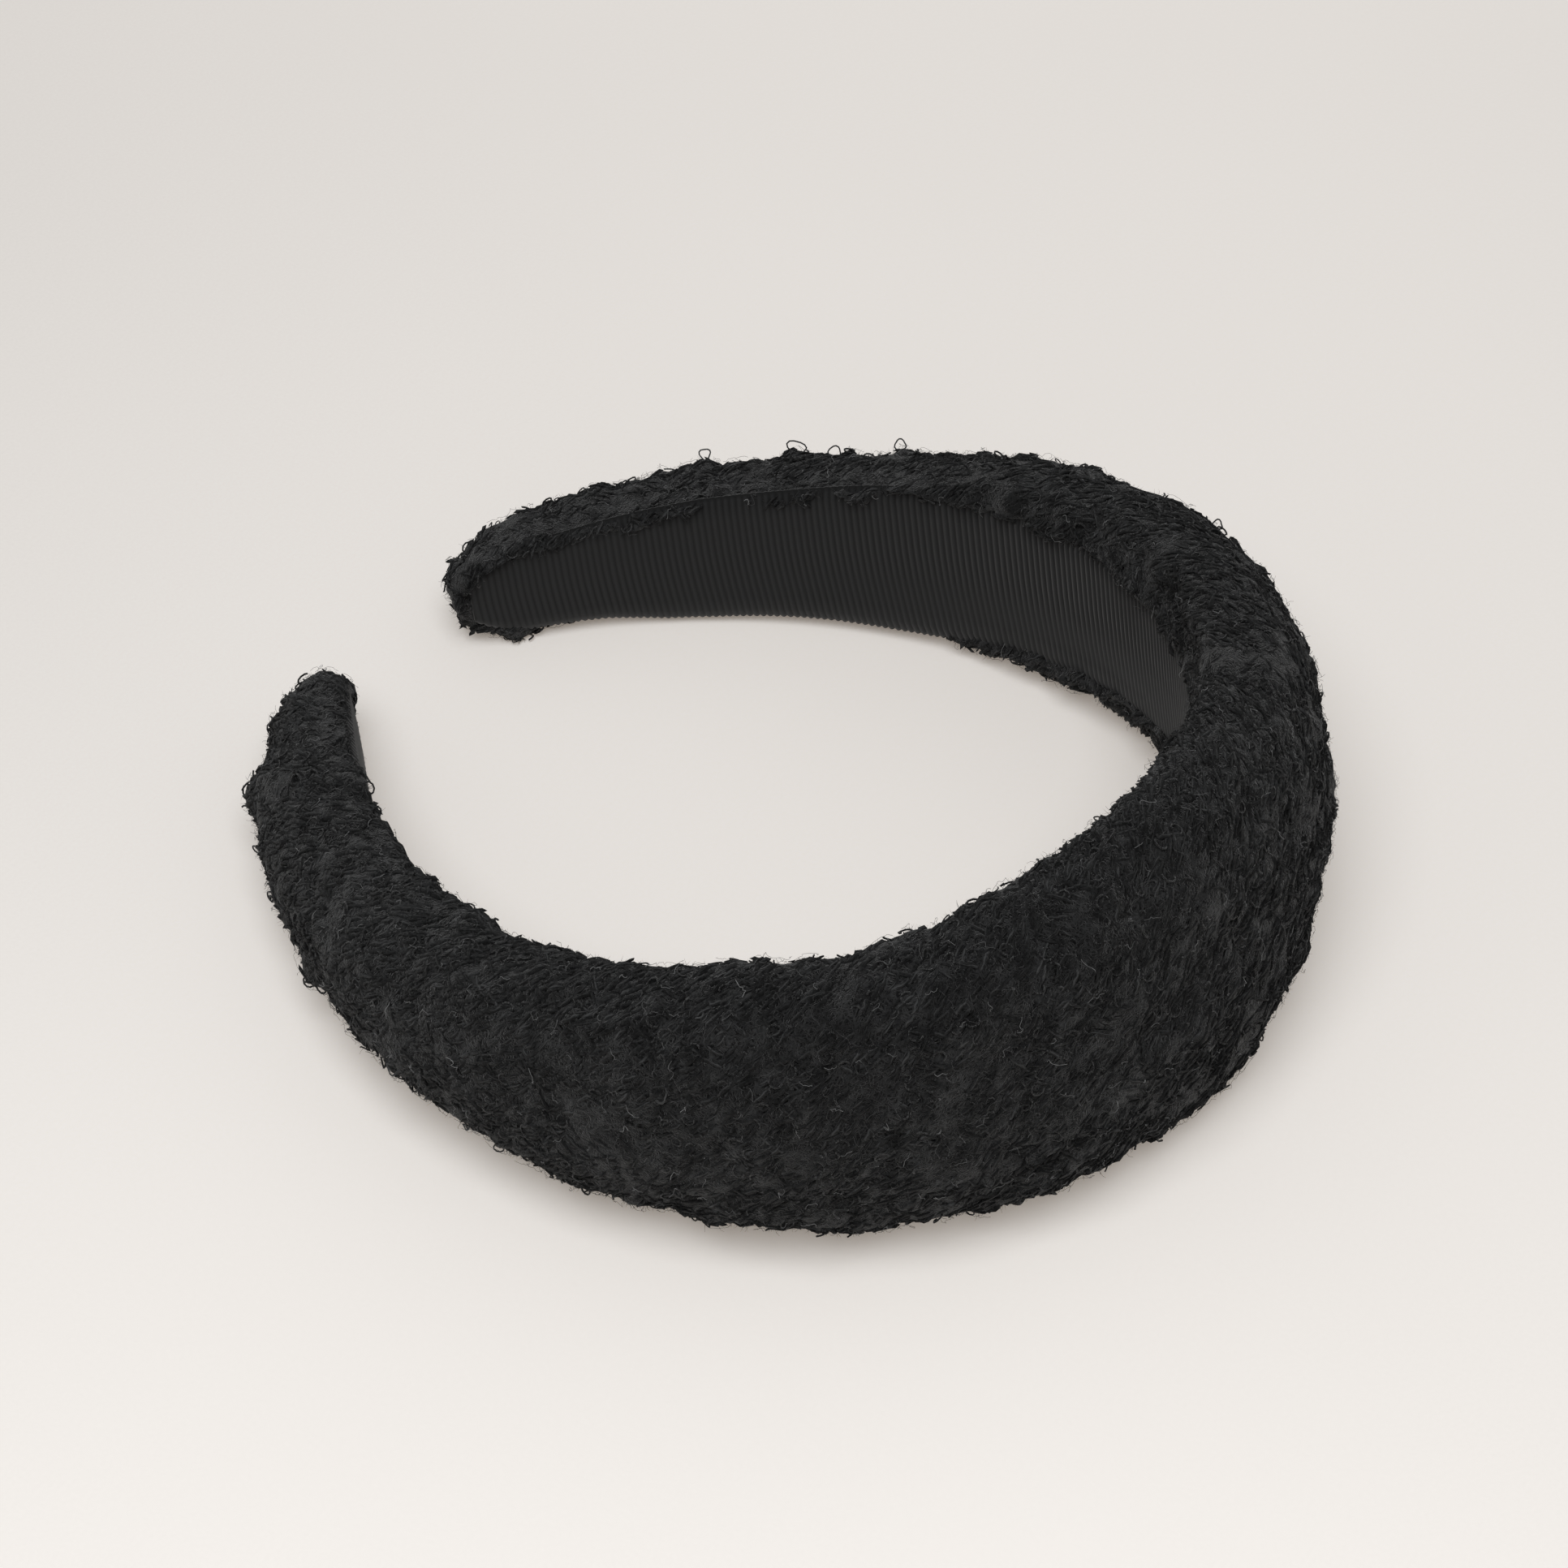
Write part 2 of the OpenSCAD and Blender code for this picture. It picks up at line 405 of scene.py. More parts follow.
row_place = ring_places[row_ring][:, None]
leg_share = np.abs(2 * row_place / band_length - 1)
top_lip = TIP_LIP + (NEAR_LEG_LIP - TIP_LIP) * ramp(row_place, *TIGHT_TIP)
top_lip = top_lip + (1 - NEAR_LEG_LIP) * ramp(row_place, *TIGHT_LEG)
end_lip = np.clip((row_place - ribbon_gap) / END_LIP_REACH, 0, 1)
lip_share = np.where(height > 0, top_lip * end_lip, ramp(leg_share, *LOW_LIP_SHARE))
waver = np.abs(noise_over(skin, LIP_SPACING))
to_edge = to_ribbon + (LIP_OVER + LIP_WAVER * waver) * lip_share
bare = np.where(depth < INNER_DEPTH, np.clip(to_edge / BARE_BLEND + 0.5, 0, 1), 1)
lip = np.where(depth < INNER_DEPTH, np.exp(-(np.maximum(to_edge, 0) / LIP_WIDTH) ** 2), 0) * lip_share

# Lumps of three sizes, as (spacing, height)
LUMPS = ((0.0125, 0.0007), (0.006, 0.0008), (0.0026, 0.0009))
lumpy = np.zeros((rows, ROUND))
for number, (spacing, lift) in enumerate(LUMPS):
    lumpy += lift * noise_over(skin, spacing, Vector((number, 0, 0)))

# Tufts and hollows where the yarn bunches up or is pressed flat, as (across, down) in the
# photograph's pixels, lift and width
TUFTS = {
    "near tip side": (305, 985, 0.0024, 0.0045),
    "near tip shoulder": (346, 878, -0.0019, 0.0045),
    "near tip top": (392, 832, 0.0006, 0.0030),
    "near tip nub": (380, 1205, 0.0012, 0.0018),
    "near tip lump": (322, 1052, 0.0009, 0.0022),
    "near leg flat": (356, 1160, -0.0009, 0.0040),
    "near leg low": (455, 1300, -0.0008, 0.0040),
    "far tip side": (556, 695, -0.0008, 0.0030),
    "far tip low": (640, 788, 0.0014, 0.0030),
    "far leg rise": (815, 582, 0.0010, 0.0080),
    "far leg first": (870, 562, 0.0014, 0.0016),
    "far leg second": (980, 560, 0.0009, 0.0020),
    "far leg third": (1045, 549, 0.0010, 0.0016),
    "far leg fourth": (1110, 552, 0.0012, 0.0015),
    "far leg last": (1236, 560, 0.0007, 0.0100),
    "crown top": (1475, 632, 0.0011, 0.0060),
    "crown flat": (1632, 848, -0.0013, 0.0080),
    "crown hollow": (1642, 1115, -0.0018, 0.0080),
    "crown lower side": (1562, 1268, -0.0008, 0.0060),
    "crown foot": (1015, 1512, 0.0006, 0.0140),
    "inner edge first": (905, 1186, 0.0010, 0.0120),
    "inner edge second": (1125, 1142, 0.0009, 0.0018),
    "inner edge third": (1245, 1090, 0.0010, 0.0080),
    "far leg low": (1190, 800, 0.0006, 0.0060),
}
CLOTH_OFF_TABLE = 0.0003


def nearest_to_ray(points, way):
    """Number of the point that is nearest to a ray from the camera."""
    from_eye = points - np.array(eye)
    off_ray = from_eye - np.outer(from_eye @ np.array(way), np.array(way))
    return int(np.argmin(np.linalg.norm(off_ray, axis=1)))


tufts = np.zeros((rows, ROUND))
skin_points = skin.reshape(-1, 3)
for across, below, lift, width in TUFTS.values():
    foot = skin_points[nearest_to_ray(skin_points, ray_through(across, below))]
    tufts += lift * np.exp(-(np.linalg.norm(skin - foot, axis=2) / width) ** 2)
lip_rise = np.clip(depth + LIP_ABOVE, LIP_HEIGHT, LIP_MOST) * lip * bare
skin = skin + ways * (lumpy * bare + tufts)[:, :, None]
skin = skin - outwards[row_ring][:, None] * lip_rise[:, :, None]
skin[:, :, 2] = np.maximum(skin[:, :, 2], CLOTH_OFF_TABLE)


def tube_faces(rings, sides, first=0, closed=True):
    """Faces round a tube of rings of points, with a flat one at both ends if it is closed."""
    last = first + (rings - 1) * sides
    round_faces = [
        (ring + side, ring + (side + 1) % sides, ring + sides + (side + 1) % sides, ring + sides + side)
        for ring in range(first, last, sides) for side in range(sides)
    ]
    if closed:
        round_faces.append(tuple(range(first + sides - 1, first - 1, -1)))
        round_faces.append(tuple(range(last, last + sides)))
    return round_faces


def smooth_mesh(name, points, faces):
    """A mesh shaded smooth."""
    mesh = bpy.data.meshes.new(name)
    mesh.from_pydata(points, [], faces)
    for face in mesh.polygons:
        face.use_smooth = True
    return mesh


faces = [(a, d, c, b) for a, b, c, d in tube_faces(rows, ROUND, closed=False)]
end_middles = [skin[0].mean(0), skin[-1].mean(0)]
first_middle = rows * ROUND
last_row = (rows - 1) * ROUND
faces += [(first_middle, j, (j + 1) % ROUND) for j in range(ROUND)]
faces += [(first_middle + 1, last_row + (j + 1) % ROUND, last_row + j) for j in range(ROUND)]
cover_points = np.concatenate([skin.reshape(-1, 3), end_middles]).tolist()
cover_mesh = smooth_mesh("wool_cover", cover_points, faces)

# The cloth's own measure: metres along the band, and metres round it from the middle of the dome
girths = np.linalg.norm(around, axis=2).sum(1)
measure = cover_mesh.uv_layers.new(name="UVMap")
for face in cover_mesh.polygons:
    wraps = any(v % ROUND == ROUND - 1 for v in face.vertices) and len(face.vertices) == 4
    for corner, vertex in zip(face.loop_indices, face.vertices):
        row, column = divmod(vertex, ROUND)
        if vertex >= first_middle:
            row = 0 if vertex == first_middle else rows - 1
            column = ROUND // 2
        if wraps and column == 0:
            column = ROUND
        measure.data[corner].uv = (row_places[row], (column / ROUND - 0.5) * girths[row])


def keep_values(mesh, name, values):
    """Stores one value, or one direction, for each point of a mesh."""
    one_each = values.size == len(mesh.vertices)
    kind, field = ("FLOAT", "value") if one_each else ("FLOAT_VECTOR", "vector")
    mesh.attributes.new(name, kind, "POINT").data.foreach_set(field, values.ravel())


keep_values(cover_mesh, "bare", np.append(bare.ravel(), (1, 1)))
row_headings = headings[row_ring]
all_headings = np.concatenate([np.repeat(row_headings, ROUND, axis=0), row_headings[[0, -1]]])
keep_values(cover_mesh, "heading", all_headings)
cover = link("wool_cover", cover_mesh)


# The wool is near-black, dull and soft. The fine crimped hairs of the yarn catch the light, which is
# painted into the yarn as thin pale lines, and the dye takes a little unevenly, so the yarn's tone and
# its relief follow one grain.
# The fibres wind in three layers, as (times the spacing, seed, strength)
FIBRE_LAYERS = ((1.0, 1.0, 1.0), (1.7, 4.0, 0.9), (0.6, 9.0, 0.7))
FIBRE_WINDING = 1.4
# How sharply each mark ends, and from where, as (gain, start)
PATCH_EDGE = (3.2, -1.1)
PIT_EDGE = (2.6, -0.8)
STREAK_EDGE = (-5.0, 0.75)
CREST_EDGE = (-5.5, 1.1)
CREST_FOOT = (2.5, 0.7)
STREAKS_A_STITCH = (2.0, 5.0, 5.0)
CREST_WAVER = 0.0012
CREST_WANDER = 0.9
CREST_ASIDE = 0.5
STRANDS_APART = 5.3
STRAND_TONES = (1.1, 0.35)
FIBRES_ON_SPUN = 0.4
PATCH_SHARE = 0.12
PIT_SHARE = 0.28
FIBRE_SHARE = (0.60, 0.30)
TONE_CONTRAST = 1.6
# The yarn is painted a little lighter towards the tips, painted light for the sheen the legs show, as
# (gain, start) of the place and of the tone
TIPS_EDGE = (8.0, 0.4)
TIPS_PAINTED_LIGHT = (0.34, 0.86)
FIBRE_RELIEF = 0.6
PIT_RELIEF = 0.5


def is_vector(value):
    """Whether a value is a vector, written out or in a node tree."""
    if isinstance(value, Wire):
        return value.socket.type in ("VECTOR", "RGBA")
    return isinstance(value, tuple)


def step(operation):
    """A method that adds one node of arithmetic, on numbers or on vectors."""
    def work_out(self, *others):
        kind = "ShaderNodeVectorMath" if is_vector(self) else "ShaderNodeMath"
        return put(self.tree, kind, dict(enumerate((self, *others))), operation=operation)

    return work_out


class Wire:
    """What one socket of a node tree puts out. A sum with it adds the nodes that work it out."""
    __add__ = step("ADD")
    __sub__ = step("SUBTRACT")
    __truediv__ = step("DIVIDE")
    __pow__ = step("POWER")
    __abs__ = step("ABSOLUTE")
    __gt__ = step("GREATER_THAN")
    larger = step("MAXIMUM")
    smaller = step("MINIMUM")
    fraction = step("FRACT")
    sine = step("SINE")
    cosine = step("COSINE")
    cross = step("CROSS_PRODUCT")
    dot = step("DOT_PRODUCT")

    def __init__(self, tree, socket):
        self.tree = tree
        self.socket = socket

    def also(self, output):
        """Another output of the same node."""
        return Wire(self.tree, self.socket.node.outputs[output])

    def feeds(self, socket):
        """Links it to an input."""
        self.tree.links.new(self.socket, socket)

    def __rsub__(self, other):
        return put(self.tree, "ShaderNodeMath", {0: other, 1: self}, operation="SUBTRACT")

    def __mul__(self, other):
        if is_vector(self) and not is_vector(other):
            return put(self.tree, "ShaderNodeVectorMath", {0: self, 3: other}, operation="SCALE")
        return step("MULTIPLY")(self, other)

    def __rtruediv__(self, other):
        return put(self.tree, "ShaderNodeMath", {0: other, 1: self}, operation="DIVIDE")

    def within(self, least, most):
        """The value, kept between two limits."""
        return self.larger(least).smaller(most)

    def tints(self, colour):
        """A colour, as strong as the value."""
        return put(self.tree, "ShaderNodeVectorMath", {0: colour, 3: self}, operation="SCALE")


def put(tree, kind, inputs=None, output=0, **options):
    """Adds a node, sets its options, fills or links its inputs, and gives one of its outputs."""
    node = tree.nodes.new(kind)
    for option, value in options.items():
        setattr(node, option, value)
    for socket, value in (inputs or {}).items():
        if isinstance(value, Wire):
            value.feeds(node.inputs[socket])
        else:
            node.inputs[socket].default_value = value
    return Wire(tree, node.outputs[output])


def parts(vector):
    """The three numbers of a vector."""
    first = put(vector.tree, "ShaderNodeSeparateXYZ", {0: vector})
    return first, first.also(1), first.also(2)


def new_group(kind, name, inputs, outputs):
    """A node group with named inputs, each given by its value or else by its kind, and named outputs."""
    tree = bpy.data.node_groups.new(name, kind)
    for label, value in inputs.items():
        socket = {float: "Float", int: "Int"}.get(type(value), value)
        made = tree.interface.new_socket(label, in_out="INPUT", socket_type=f"NodeSocket{socket}")
        if socket != value:
            made.default_value = value
    for label, socket in outputs.items():
        tree.interface.new_socket(label, in_out="OUTPUT", socket_type=f"NodeSocket{socket}")
    given = tree.nodes.new("NodeGroupInput").outputs
    result = tree.nodes.new("NodeGroupOutput").inputs
    return tree, {label: Wire(tree, given[label]) for label in inputs}, result


def noise_on(where, scale, detail, seed=None, output=0, twist=0.0):
    """Soft noise over some places, as a number or, from output 1, as a colour."""
    inputs = {"Vector": where, "Scale": scale, "Detail": detail, "Distortion": twist}
    if seed is None:
        return put(where.tree, "ShaderNodeTexNoise", inputs, output, noise_dimensions="3D")
    inputs["W"] = seed
    return put(where.tree, "ShaderNodeTexNoise", inputs, output, noise_dimensions="4D")


def wool_grain():
    """Fine winding fibres on an uneven ground with hazy patches, plus painted highlight and painted
    light, as a tone from 0 to 1 and a height.
    """
    tree, given, result = new_group("ShaderNodeTree", "wool_grain", {
        "Fibre Spacing": 0.001,
        "Fibre Thinness": 8.0,
        "Pit Spacing": 0.0004,
        "Patch Spacing": 0.005,
        "Spun": 0.0,
    }, {"Tone": "Float", "Height": "Float"})
    here = put(tree, "ShaderNodeTexCoord", output="Object")

    def share(value, gain, start):
        return (value * gain + start).within(0, 1)

    def fibres(times, seed, strength):
        scale = 1 / (given["Fibre Spacing"] * times)
        winding = noise_on(here, scale, 1.0, seed, twist=FIBRE_WINDING)
        return share(abs(winding * 2 - 1) * given["Fibre Thinness"], -1, 1) * strength

    patch = share(noise_on(here, 1 / given["Patch Spacing"], 2.0, seed=7.0), *PATCH_EDGE)
    pits = share(noise_on(here, 1 / given["Pit Spacing"], 2.0, seed=3.0), *PIT_EDGE)
    first, second, third = (fibres(*layer) for layer in FIBRE_LAYERS)
    lines = first.larger(second).larger(third)

    # On spun yarn the fibres are drawn out along each stitch, with a painted highlight along the top of
    # its back
    spun = put(tree, "ShaderNodeAttribute", output="Vector", attribute_name="spun")
    strand = put(tree, "ShaderNodeAttribute", output="Fac", attribute_name="strand")
    streaks = noise_on(spun * STREAKS_A_STITCH, 1.0, 1.0, seed=strand)
    streaks = share(abs(streaks * 2 - 1), *STREAK_EDGE)
    beside, above = parts(spun)[1:]
    waver = (noise_on(here, 1 / CREST_WAVER, 0.0, seed=6.0) - 0.5) * CREST_WANDER
    beside = beside - ((strand * STRANDS_APART).fraction() - 0.5) * CREST_ASIDE + waver
    # Painted highlight: lighter along the top of each stitch
    painted_top_highlight = share(abs(beside), *CREST_EDGE) * share(above, *CREST_FOOT)
    streaks = streaks.larger(painted_top_highlight) * (strand.fraction() * STRAND_TONES[0] + STRAND_TONES[1])
    streaks = streaks.larger(lines * FIBRES_ON_SPUN)
    lines = lines + (streaks - lines) * given["Spun"]

    tone = patch * PATCH_SHARE + pits * PIT_SHARE + lines * (patch * FIBRE_SHARE[0] + FIBRE_SHARE[1])
    # Painted light: the yarn lighter towards the tips
    painted_tip_light = share(parts(here)[1], *TIPS_EDGE) * TIPS_PAINTED_LIGHT[0] + TIPS_PAINTED_LIGHT[1]
    (tone ** TONE_CONTRAST * painted_tip_light).feeds(result["Tone"])
    (lines * FIBRE_RELIEF + pits * PIT_RELIEF).feeds(result["Height"])
    return tree


grain = wool_grain()


def two_tone(name, dark, light, grain_of, relief, settings):
    """A material that goes from a dark to a light tone, with a relief, as its grain has them."""
    material = bpy.data.materials.new(name)
    material.use_nodes = True
    tree = material.node_tree
    shader = tree.nodes["Principled BSDF"].inputs
    tone, height = grain_of(tree)
    tones = {0: tone, 6: (*dark, 1), 7: (*light, 1)}
    put(tree, "ShaderNodeMix", tones, 2, data_type="RGBA").feeds(shader["Base Color"])
    put(tree, "ShaderNodeBump", {"Height": height, **relief}).feeds(shader["Normal"])
    for socket, value in settings.items():
        shader[socket].default_value = value
    return material


def wool(name, dark, light, grain_sizes, relief, sheen):
    """Wool with the shared grain, at its own sizes."""
    def grain_of(tree):
        tone = put(tree, "ShaderNodeGroup", grain_sizes, "Tone", node_tree=grain)
        return tone, tone.also("Height")

    return two_tone(name, dark, light, grain_of, relief, {
        "Roughness": 0.95, "Specular IOR Level": 0.12, "Sheen Weight": sheen, "Sheen Roughness": 0.5,
        "Sheen Tint": (0.6, 0.6, 0.6, 1),
    })


WOOL_SHEEN = 0.30
YARN_GRAIN = {
    "Fibre Spacing": 0.0014, "Fibre Thinness": 7.0, "Pit Spacing": 0.0004, "Patch Spacing": 0.0034,
}
CLOTH_GRAIN = {**YARN_GRAIN, "Pit Spacing": 0.0008}
CLOTH_DARK = (0.0012, 0.00125, 0.0013)
CLOTH_LIGHT = (0.035, 0.0357, 0.0364)
CLOTH_RELIEF = {"Distance": 0.00022, "Strength": 1.0}
dark_wool = wool("dark_wool", CLOTH_DARK, CLOTH_LIGHT, CLOTH_GRAIN, CLOTH_RELIEF, WOOL_SHEEN)
cover_mesh.materials.append(dark_wool)
bpy.data.objects.remove(foam)
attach(cover, "root")
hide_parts("padded_cover")


# The yarn of the cloth's face is spun of dull black wool and woven as a loose twill: short soft
# floats lie in slanting rows, with a few crossing ones. Each float is one thick stitch of the yarn,
# laid on the body of the cloth by the cloth's own measure, with gaps where the pile is.
YARN_SIDES = 3
STITCH_POINTS = 4
STITCH_ARCH = 0.27
STITCH_DIP = 0.72
STITCH_TAPER = 0.65
STITCH_FLATNESS = 0.72
STITCH_SWAY = (0.5, 0.16, 0.34)
STITCH_SHAKE = (0.3, 0.22, 0)
THICKNESSES = (0.7, 1.25)
STITCH_LENGTHS = (0.9, 1.5)
STRANDS = (0, 60)
ROW_STAGGER = 0.37
ROW_DRIFT = 0.006
DRIFT_SPACING = 0.012
FLOATS_BARE = 0.6


def chance(low, high, seed):
    """A random number for each point."""
    return put(seed.tree, "FunctionNodeRandomValue", {2: low, 3: high, 8: seed}, 1, data_type="FLOAT")


def chances(limits, seed):
    """A random vector for each point, up to some limits either way."""
    inputs = {0: [-limit for limit in limits], 1: limits, 8: seed}
    return put(seed.tree, "FunctionNodeRandomValue", inputs, data_type="FLOAT_VECTOR")


def named(tree, name, kind="FLOAT"):
    """An attribute stored on the mesh."""
    return put(tree, "GeometryNodeInputNamedAttribute", {"Name": name}, data_type=kind)


def store(geometry, name, value, **options):
    """Keeps a value on a mesh, or on its instances, under a name."""
    inputs = {"Geometry": geometry, "Name": name, "Value": value}
    kind = "FLOAT_VECTOR" if is_vector(value) else "FLOAT"
    return put(geometry.tree, "GeometryNodeStoreNamedAttribute", inputs, data_type=kind, **options)


def shifted(geometry, **where):
    """Puts each point at a Position, or moves it by an Offset."""
    return put(geometry.tree, "GeometryNodeSetPosition", {"Geometry": geometry, **where})


def turned(rotation, angles):
    """A rotation turned further by three angles of its own."""
    angles = put(rotation.tree, "FunctionNodeEulerToRotation", {0: angles})
    inputs = {0: rotation, 1: angles}
    return put(rotation.tree, "FunctionNodeRotateRotation", inputs, rotation_space="LOCAL")


def noise_at(tree, spacing, seed, output=0):
    """Soft noise over the position of each point."""
    return noise_on(put(tree, "GeometryNodeInputPosition"), 1 / spacing, 1.5, seed, output)


def drift_at(tree, spacing, seed):
    """Soft noise as a vector round nothing."""
    return noise_at(tree, spacing, seed, output=1) - (0.5, 0.5, 0.5)


def straight(tree, steps):
    """A straight line, one long, of a number of points."""
    line_curve = put(tree, "GeometryNodeCurvePrimitiveLine", {"Start": (-0.5, 0, 0), "End": (0.5, 0, 0)})
    return put(tree, "GeometryNodeResampleCurve", {0: line_curve, "Count": steps})


def strand_along(curve, radius, scale=1.0):
    """A strand along a curve, closed at both ends."""
    sizes = {"Resolution": YARN_SIDES, "Radius": radius}
    ring = put(curve.tree, "GeometryNodeCurvePrimitiveCircle", sizes)
    return put(curve.tree, "GeometryNodeCurveToMesh", {0: curve, 1: ring, 2: scale, 3: True})


def yarn_group(name, sizes):
    """A tree that grows yarn on the cloth, with inputs of its own and the ones they all have."""
    return new_group("GeometryNodeTree", name, {
        "Cloth": "Geometry", **sizes, "Gaps": 0.4, "Patch": 0.006, "Seed": 1, "Wool": "Material",
    }, {"Yarn": "Geometry"})


def finish_yarn(yarn, given, result):
    """Makes the yarn one mesh above the table, shades it smooth and gives it its wool."""
    tree = yarn.tree
    yarn = put(tree, "GeometryNodeRealizeInstances", {0: yarn})
    here = put(tree, "GeometryNodeInputPosition")
    yarn = shifted(yarn, Position=here.larger((-1, -1, CLOTH_OFF_TABLE)))
    yarn = put(tree, "GeometryNodeSetShadeSmooth", {"Geometry": yarn})
    yarn = put(tree, "GeometryNodeSetMaterial", {"Geometry": yarn, "Material": given["Wool"]})
    yarn.feeds(result["Yarn"])


def grown(name, base, tree, values):
    """Runs a tree on a copy of a mesh, and keeps what it makes as a plain mesh."""
    thing = link(name, base.copy())
    grow = thing.modifiers.new("grow", "NODES")
    grow.node_group = tree
    for item in tree.interface.items_tree:
        if item.in_out == "INPUT" and item.name in values:
            grow[item.identifier] = values[item.name]
    mesh = bpy.data.meshes.new_from_object(thing.evaluated_get(bpy.context.evaluated_depsgraph_get()))
    thing.modifiers.clear()
    thing.data = mesh
    mesh.name = name
    for extra in [a.name for a in mesh.attributes if a.name in ("lay", "heading", "bare", "UVMap")]:
        mesh.attributes.remove(mesh.attributes[extra])
    return thing


def float_tree():
    """Slanting rows of short soft floats."""
    tree, given, result = yarn_group("twill_floats", {
        "Pitch": 0.001, "Length": 0.003, "Thickness": 0.001, "Slant": 0.8, "Middle": 0.0, "Reach": 0.4,
    })
    length, pitch, reach, slant, seed = (given[k] for k in ("Length", "Pitch", "Reach", "Slant", "Seed"))
    grid = put(tree, "GeometryNodeMeshGrid", {
        "Size X": reach, "Size Y": reach, "Vertices X": reach / length, "Vertices Y": reach / pitch,
    })
    along, across = parts(put(tree, "GeometryNodeInputPosition"))[:2]
    stagger = (across / pitch * ROW_STAGGER).fraction()
    along_shake, across_shake = parts(chances(STITCH_SHAKE, seed))[:2]
    laid = put(tree, "ShaderNodeCombineXYZ", {
        0: along + (stagger + along_shake) * length, 1: across + across_shake * pitch,
    })
    slanted = put(tree, "ShaderNodeVectorRotate", {
        "Vector": laid + drift_at(tree, DRIFT_SPACING, 2.0) * ROW_DRIFT, "Angle": slant,
    }, rotation_type="Z_AXIS")
    grid = store(grid, "lay", slanted + put(tree, "ShaderNodeCombineXYZ", {0: given["Middle"]}))

    def on_cloth(value, kind="FLOAT_VECTOR"):
        measure, lay = (named(tree, name, "FLOAT_VECTOR") for name in ("UVMap", "lay"))
        inputs = {"Mesh": given["Cloth"], 1: value, 2: measure, 3: lay}
        return put(tree, "GeometryNodeSampleUVSurface", inputs, data_type=kind)

    spot = on_cloth(put(tree, "GeometryNodeInputPosition"))
    normal = on_cloth(put(tree, "GeometryNodeInputNormal"))
    heading = on_cloth(named(tree, "heading", "FLOAT_VECTOR"))
    covered = noise_at(tree, given["Patch"], 5.0) > given["Gaps"]
    wanted = (on_cloth(named(tree, "bare"), "FLOAT") > FLOATS_BARE) * covered * spot.also(1)
    points = put(tree, "GeometryNodeMeshToPoints", {"Mesh": shifted(grid, Position=spot)})
    way = heading * slant.cosine() + normal.cross(heading) * slant.sine()
    lies = put(tree, "FunctionNodeAxesToRotation", {0: normal, 1: way})
    thick = given["Thickness"] * chance(*THICKNESSES, seed + 2)
    size = put(tree, "ShaderNodeCombineXYZ", {
        0: length * chance(*STITCH_LENGTHS, seed + 3), 1: thick, 2: thick * STITCH_FLATNESS,
    })
    to_ends = abs(put(tree, "GeometryNodeSplineParameter") * 2 - 1) ** 2
    sag = put(tree, "ShaderNodeCombineXYZ", {2: to_ends * -STITCH_DIP + STITCH_ARCH})
    stitch = shifted(straight(tree, STITCH_POINTS), Offset=sag)
    stitch = strand_along(stitch, 0.5, to_ends * -STITCH_TAPER + 1)
    stitch = store(stitch, "spun", put(tree, "GeometryNodeInputPosition"))
    yarn = put(tree, "GeometryNodeInstanceOnPoints", {
        "Points": points, "Selection": wanted, "Instance": stitch, "Scale": size,
        "Rotation": turned(lies, chances(STITCH_SWAY, seed + 1)),
    })
    yarn = store(yarn, "strand", chance(*STRANDS, seed + 5), domain="INSTANCE")
    finish_yarn(yarn, given, result)
    return tree


YARN_DARK = (0.0010, 0.00104, 0.0011)
YARN_LIGHT = (0.059, 0.0602, 0.0614)
YARN_RELIEF = {"Distance": 0.00018, "Strength": 1.0}
YARN_SHEEN = 0.11
spun_wool = wool("spun_wool", YARN_DARK, YARN_LIGHT, {**YARN_GRAIN, "Spun": 1.0}, YARN_RELIEF, YARN_SHEEN)
TWILL_SLANT = math.radians(40)
CROSS_SLANT = math.radians(-38)
ALL_FLOATS = {"Middle": band_length / 2, "Reach": 0.42, "Wool": spun_wool}
twill = float_tree()
wool_floats = grown("wool_floats", cover_mesh, twill, {
    **ALL_FLOATS, "Pitch": 0.00098, "Length": 0.0024, "Thickness": 0.00088, "Slant": TWILL_SLANT,
    "Gaps": 0.42, "Patch": 0.008, "Seed": 11,
})
cross_floats = grown("cross_floats", cover_mesh, twill, {
    **ALL_FLOATS, "Pitch": 0.0013, "Length": 0.0028, "Thickness": 0.0008, "Slant": CROSS_SLANT,
    "Gaps": 0.56, "Patch": 0.005, "Seed": 47,
})
for yarn in (wool_floats, cross_floats):
    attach(yarn, "root")


# Between the floats the yarn is looped up into open curls, which stand in the cloth at all angles
# and make its knobbly pile. Each is a short arc of the same dull wool, rooted in the cloth.
CURL_SIZES = (0.65, 1.35)
CURL_RISE = 0.7
# Limits of a turn by chance, as (axis, least, most)
CURL_LEAN = (0, -0.7, 0.9)
ANY_WAY = (2, -3.14, 3.14)
PILE_BARE = 0.7
MOST_POINTS = 4e6


def strewn(given, shape, turns, size):
    """Sets a shape on points spread over the bare cloth, each turned by chance round some axes."""
    tree = shape.tree
    seed = given["Seed"]
    spread_points = put(tree, "GeometryNodeDistributePointsOnFaces", {
        "Mesh": given["Cloth"], "Selection": named(tree, "bare") > PILE_BARE,
        "Distance Min": given["Spacing"], "Density Max": MOST_POINTS, "Density Factor": 1.0,
        "Seed": seed,
    }, distribute_method="POISSON")
    angles = {axis: chance(low, high, seed + k) for k, (axis, low, high) in enumerate(turns, 1)}
    return put(tree, "GeometryNodeInstanceOnPoints", {
        "Points": spread_points, "Selection": noise_at(tree, given["Patch"], seed) > given["Gaps"],
        "Instance": shape, "Scale": size,
        "Rotation": turned(spread_points.also(2), put(tree, "ShaderNodeCombineXYZ", angles)),
    })


